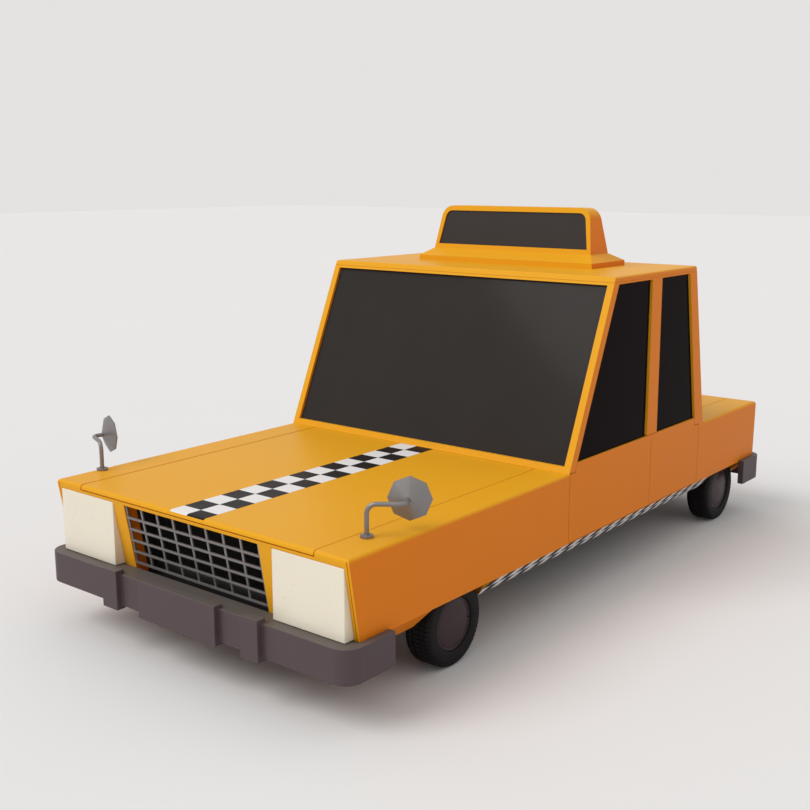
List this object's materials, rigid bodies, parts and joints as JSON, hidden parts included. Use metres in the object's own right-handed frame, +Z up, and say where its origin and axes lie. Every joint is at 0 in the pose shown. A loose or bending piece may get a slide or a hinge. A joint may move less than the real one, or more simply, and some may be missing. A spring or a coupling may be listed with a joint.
{
  "type": "taxi cab",
  "caption": "Boxy saloon taxi cab with opening doors, bonnet and boot, steered front wheels, wing mirrors, lattice grille and a blank roof sign.",
  "frame": {"origin": "on the floor, on the middle plane of the cab and half way between the nose and the tail", "axes": "+Z up, +X to the left side of the cab, the nose points along -Y"},
  "size_m": [2.2339, 4.38, 2.1],
  "materials": {
    "body_paint": "satin yellow-orange paint",
    "bonnet_paint": "the body paint, with a white and black checker stripe down the middle",
    "dark_glass": "dark tinted glass",
    "headlight": "cream lens block",
    "tail_lamp": "red lens block",
    "grille_metal": "satin grey bars",
    "radiator_black": "matt black",
    "bumper": "satin dark grey-brown",
    "mirror_metal": "satin grey",
    "sign_panel": "dark blank panel",
    "trim": "dark moulded plastic",
    "seat_cover": "dark hard-wearing seat cover",
    "engine_iron": "plain block",
    "exhaust_steel": "dull steel",
    "underbody": "matt black chassis paint",
    "knuckle_steel": "forged and painted",
    "wheel_disc": "plain dark disc",
    "tyre": "black rubber",
    "rim_plastic": "grained black rim"
  },
  "bodies": {
    "body": {"floor_pan": "underbody", "sills": "body_paint", "front_wings": "body_paint", "nose_panel": "body_paint", "cabin_frame": "body_paint", "roof_panel": "body_paint", "rear_wings": "body_paint", "tail_panel": "body_paint", "fixed_glass": "dark_glass", "headlights": "headlight", "tail_lamps": "tail_lamp", "grille": "grille_metal", "radiator": "radiator_black", "bumpers": "bumper", "mirrors": "mirror_metal", "roof_sign": "body_paint", "sign_panels": "sign_panel", "dashboard": "trim", "front_seats": "seat_cover", "rear_seat": "seat_cover", "engine": "engine_iron", "exhaust": "exhaust_steel", "front_axle": "underbody", "rear_axle": "underbody"},
    "bonnet_lid": {"bonnet": "bonnet_paint"},
    "boot": {"boot_lid": "body_paint"},
    "door_front_left": {"front_door_left": "body_paint", "front_glass_left": "dark_glass"},
    "door_front_right": {"front_door_right": "body_paint", "front_glass_right": "dark_glass"},
    "door_rear_left": {"rear_door_left": "body_paint", "rear_glass_left": "dark_glass"},
    "door_rear_right": {"rear_door_right": "body_paint", "rear_glass_right": "dark_glass"},
    "steer_left": {"knuckle_left": "knuckle_steel"},
    "steer_right": {"knuckle_right": "knuckle_steel"},
    "wheel_front_left": {"front_wheel_left": "wheel_disc", "front_tyre_left": "tyre"},
    "wheel_front_right": {"front_wheel_right": "wheel_disc", "front_tyre_right": "tyre"},
    "wheel_rear_left": {"rear_wheel_left": "wheel_disc", "rear_tyre_left": "tyre"},
    "wheel_rear_right": {"rear_wheel_right": "wheel_disc", "rear_tyre_right": "tyre"},
    "steering": {"steering_wheel": "rim_plastic"}
  },
  "joints": [
    {"name": "bonnet_hinge", "type": "hinge", "parent": "body", "child": "bonnet_lid", "pos_m": [0, -0.403, 0.77], "axis": [-1, 0, 0], "range_deg": [0, 50]},
    {"name": "boot_hinge", "type": "hinge", "parent": "body", "child": "boot", "pos_m": [0, 1.263, 0.77], "axis": [1, 0, 0], "range_deg": [0, 70]},
    {"name": "front_door_left_hinge", "type": "hinge", "parent": "body", "child": "door_front_left", "pos_m": [1.003, -0.371, 0.575], "axis": [0, 0, -1], "range_deg": [0, 65]},
    {"name": "front_door_right_hinge", "type": "hinge", "parent": "body", "child": "door_front_right", "pos_m": [-1.003, -0.371, 0.575], "axis": [0, 0, 1], "range_deg": [0, 65]},
    {"name": "rear_door_left_hinge", "type": "hinge", "parent": "body", "child": "door_rear_left", "pos_m": [1.003, 0.543, 0.575], "axis": [0, 0, -1], "range_deg": [0, 65]},
    {"name": "rear_door_right_hinge", "type": "hinge", "parent": "body", "child": "door_rear_right", "pos_m": [-1.003, 0.543, 0.575], "axis": [0, 0, 1], "range_deg": [0, 65]},
    {"name": "steer_left_hinge", "type": "hinge", "parent": "body", "child": "steer_left", "pos_m": [0.76, -1.282, 0.212], "axis": [0, 0, 1], "range_deg": [-35, 35]},
    {"name": "steer_right_hinge", "type": "hinge", "parent": "body", "child": "steer_right", "pos_m": [-0.76, -1.282, 0.212], "axis": [0, 0, 1], "range_deg": [-35, 35]},
    {"name": "steering_wheel_turn", "type": "hinge", "parent": "body", "child": "steering", "pos_m": [0.42, -0.09, 0.83], "axis": [0, 0.8829, 0.4695], "range_deg": [-490, 490]},
    {"name": "front_left_spin", "type": "hinge", "parent": "steer_left", "child": "wheel_front_left", "pos_m": [0.86, -1.282, 0.212], "axis": [1, 0, 0], "continuous": true},
    {"name": "front_right_spin", "type": "hinge", "parent": "steer_right", "child": "wheel_front_right", "pos_m": [-0.86, -1.282, 0.212], "axis": [1, 0, 0], "continuous": true},
    {"name": "rear_left_spin", "type": "hinge", "parent": "body", "child": "wheel_rear_left", "pos_m": [0.86, 1.727, 0.212], "axis": [1, 0, 0], "continuous": true},
    {"name": "rear_right_spin", "type": "hinge", "parent": "body", "child": "wheel_rear_right", "pos_m": [-0.86, 1.727, 0.212], "axis": [1, 0, 0], "continuous": true}
  ],
  "couplings": [
    {"joint": "steer_right_hinge", "follows": "steer_left_hinge", "ratio": 1},
    {"joint": "steering_wheel_turn", "follows": "steer_left_hinge", "ratio": 14}
  ]
}
